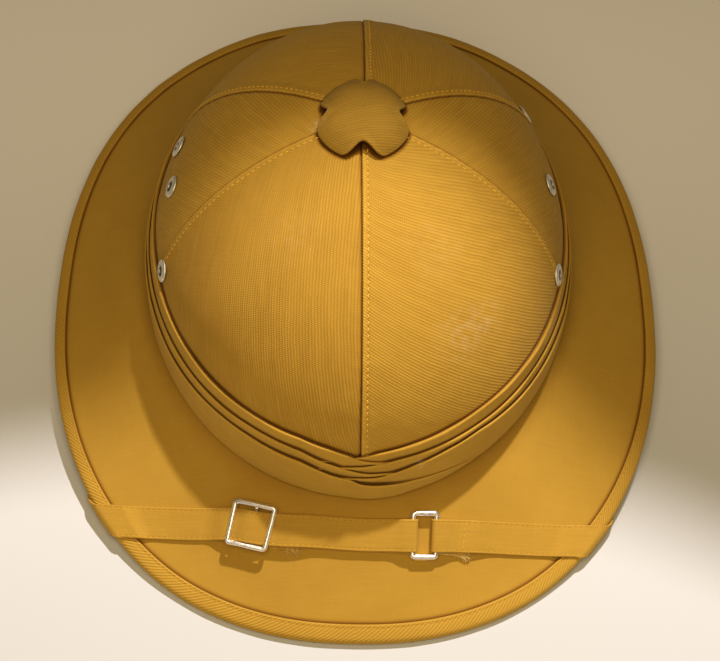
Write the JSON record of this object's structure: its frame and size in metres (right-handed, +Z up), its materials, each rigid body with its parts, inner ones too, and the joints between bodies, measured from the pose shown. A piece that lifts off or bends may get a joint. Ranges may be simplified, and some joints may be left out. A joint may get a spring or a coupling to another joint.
{
  "type": "pith helmet",
  "caption": "Cloth-covered pith helmet: panelled dome crown, wide flared bound brim, pleated band, lobed vent cap, air eyelets and a chin strap laid over the front brim.",
  "frame": {"origin": "middle of the brim's footprint, on the surface the brim rests on", "axes": "+Z up, -Y towards the front of the hat, where the strap lies over the brim, +X to the right in the front view"},
  "size_m": [0.2878, 0.3668, 0.1539],
  "materials": {
    "crown_cloth": "matt khaki twill",
    "brim_cloth": "matt khaki plain weave",
    "binding_tape": "matt ribbed tape",
    "puggaree_cloth": "matt pleated plain weave",
    "cap_cloth": "matt khaki twill",
    "strap_cloth": "matt stitched cloth strap",
    "wire_nickel": "worn nickel-plated wire",
    "eyelet_metal": "dull off-white metal",
    "post_steel": "plain dull steel"
  },
  "bodies": {
    "root": {"crown": "crown_cloth", "brim": "brim_cloth", "brim_binding": "binding_tape", "puggaree": "puggaree_cloth", "vent_cap": "cap_cloth", "vent_post": "post_steel", "eyelet_left_front": "eyelet_metal", "eyelet_left_middle": "eyelet_metal", "eyelet_left_rear": "eyelet_metal", "eyelet_right_front": "eyelet_metal", "eyelet_right_middle": "eyelet_metal", "eyelet_right_rear": "eyelet_metal", "chin_strap_long": "strap_cloth", "chin_strap_short": "strap_cloth", "strap_slide": "wire_nickel", "strap_ring": "wire_nickel"}
  },
  "joints": []
}
